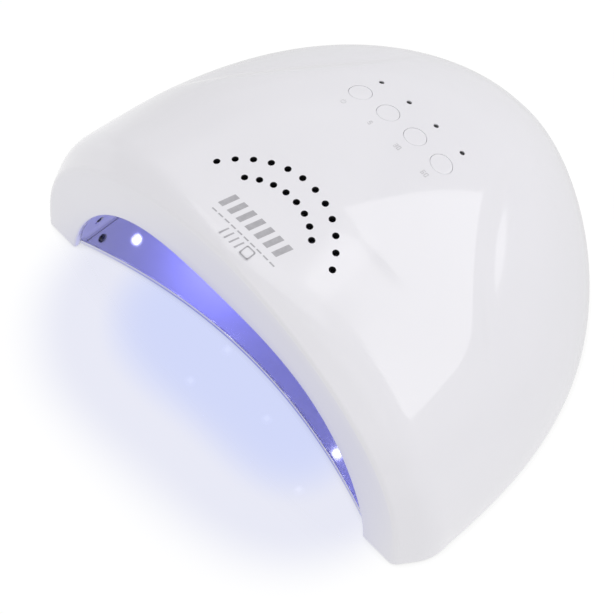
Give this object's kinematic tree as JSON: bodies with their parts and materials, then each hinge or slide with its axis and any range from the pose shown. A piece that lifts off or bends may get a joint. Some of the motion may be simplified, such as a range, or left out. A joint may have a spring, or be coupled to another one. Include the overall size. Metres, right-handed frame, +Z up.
{
  "type": "nail curing lamp",
  "caption": "Domed table lamp that cures gel: arched hand cavity lined with small LEDs, lift-out steel floor plate, and a row of press buttons on top.",
  "frame": {"origin": "ground level under the centre of the footprint", "axes": "+X the lamp's right, -Y the open front, +Z up"},
  "size_m": [0.2218, 0.174, 0.0948],
  "materials": {
    "casing_white": "glossy moulded ABS",
    "liner_white": "smooth reflective ABS",
    "plate_steel": "polished stainless sheet",
    "fastener_steel": "zinc plated",
    "magnet_nickel": "nickel plated",
    "foot_rubber": "moulded rubber",
    "black_plastic": "moulded black",
    "board_green": "solder mask",
    "capacitor_sleeve": "shrink sleeve",
    "ferrite": "ferrite and resin",
    "connector_cream": "nylon",
    "window_smoke": "smoked lens",
    "led_clear": "clear resin",
    "led_board_white": "white solder mask",
    "led_phosphor": "LED die and cup",
    "lens_violet": "clear silicone lens",
    "wire_red": "PVC insulation",
    "wire_white": "PVC insulation"
  },
  "bodies": {
    "lamp": {"top_shell": "casing_white", "reflector_liner": "liner_white", "base_frame": "casing_white", "plate_magnets": "magnet_nickel", "rubber_feet": "foot_rubber", "base_screws": "fastener_steel", "switch_bodies": "black_plastic", "control_board": "board_green", "board_screws": "fastener_steel", "controller_chip": "black_plastic", "capacitors": "capacitor_sleeve", "inductor": "ferrite", "power_transistors": "black_plastic", "board_connectors": "connector_cream", "indicator_windows": "window_smoke", "indicator_leds": "led_clear", "led_boards": "led_board_white", "led_emitters": "led_phosphor", "led_lenses": "lens_violet", "liner_screws": "fastener_steel", "hand_sensor_emitter": "led_clear", "hand_sensor_receiver": "window_smoke", "dc_jack": "black_plastic", "jack_nut": "fastener_steel", "jack_leads": "wire_red", "led_leads": "wire_white"},
    "key_power": {"button_power": "casing_white", "plunger_power": "black_plastic"},
    "key_short": {"button_short": "casing_white", "plunger_short": "black_plastic"},
    "key_medium": {"button_medium": "casing_white", "plunger_medium": "black_plastic"},
    "key_long": {"button_long": "casing_white", "plunger_long": "black_plastic"},
    "plate": {"floor_plate": "plate_steel"}
  },
  "joints": [
    {"name": "press_power", "type": "slide", "parent": "lamp", "child": "key_power", "axis": [0, -0.3024, -0.9532], "range_m": [0, 0.0005], "stiffness_N_per_m": 600},
    {"name": "press_short", "type": "slide", "parent": "lamp", "child": "key_short", "axis": [0, -0.3024, -0.9532], "range_m": [0, 0.0005], "stiffness_N_per_m": 600},
    {"name": "press_medium", "type": "slide", "parent": "lamp", "child": "key_medium", "axis": [0, -0.3024, -0.9532], "range_m": [0, 0.0005], "stiffness_N_per_m": 600},
    {"name": "press_long", "type": "slide", "parent": "lamp", "child": "key_long", "axis": [0, -0.3024, -0.9532], "range_m": [0, 0.0005], "stiffness_N_per_m": 600},
    {"name": "plate_pull", "type": "slide", "parent": "lamp", "child": "plate", "axis": [0, -1, 0], "range_m": [0, 0.12]}
  ]
}
